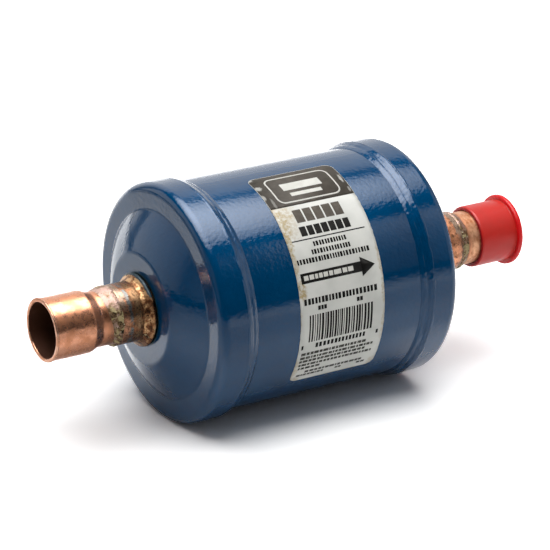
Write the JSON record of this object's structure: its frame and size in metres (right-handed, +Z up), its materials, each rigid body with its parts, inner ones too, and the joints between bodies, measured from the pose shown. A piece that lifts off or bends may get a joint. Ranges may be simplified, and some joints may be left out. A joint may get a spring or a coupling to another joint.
{
  "type": "filter drier",
  "caption": "Blue steel filter drier for a refrigerant liquid line, with a copper solder socket, a copper stub under a red pull-off dust cap, and a sprung desiccant bed.",
  "frame": {"origin": "centre of the inlet socket's stop, where an inserted pipe ends, on the flow axis", "axes": "+X along the flow from inlet to outlet, +Z up as it lies on its side, the label facing -Y and up"},
  "size_m": [0.1568, 0.0694, 0.0694],
  "materials": {
    "blue_enamel": "gloss enamel with a light orange peel",
    "copper": "drawn copper, bright with a light handling haze",
    "plated_collar": "copper-plated steel, heat tinted by brazing",
    "braze_alloy": "cast bronze braze with pits, soot and flux residue",
    "label_paper": "printed coated paper, scuffed and stained",
    "red_polyethylene": "moulded low-density polyethylene, semi-gloss",
    "spring_steel": "drawn wire, oiled",
    "zinc_plate": "pressed sheet, zinc plated",
    "wire_mesh": "fine woven stainless mesh",
    "filter_fibre": "bonded fibre pad",
    "desiccant": "packed molecular sieve beads"
  },
  "bodies": {
    "drier": {"shell_tube": "blue_enamel", "inlet_end_cap": "blue_enamel", "outlet_end_cap": "blue_enamel", "inlet_seam_weld": "blue_enamel", "outlet_seam_weld": "blue_enamel", "inlet_collar": "plated_collar", "outlet_collar": "plated_collar", "inlet_collar_braze": "braze_alloy", "outlet_collar_braze": "braze_alloy", "inlet_tube_braze": "braze_alloy", "outlet_tube_braze": "braze_alloy", "inlet_fitting": "copper", "outlet_fitting": "copper", "label": "label_paper", "inlet_spring": "spring_steel", "spring_plate": "zinc_plate", "outlet_retainer": "zinc_plate", "inlet_screen": "wire_mesh", "outlet_screen": "wire_mesh", "inlet_filter_pad": "filter_fibre", "outlet_filter_pad": "filter_fibre", "desiccant_bed": "desiccant"},
    "dust_cap": {"dust_cap": "red_polyethylene"}
  },
  "joints": [
    {"name": "dust_cap_pull", "type": "slide", "parent": "drier", "child": "dust_cap", "axis": [1, 0, 0], "range_m": [0, 0.03]}
  ]
}
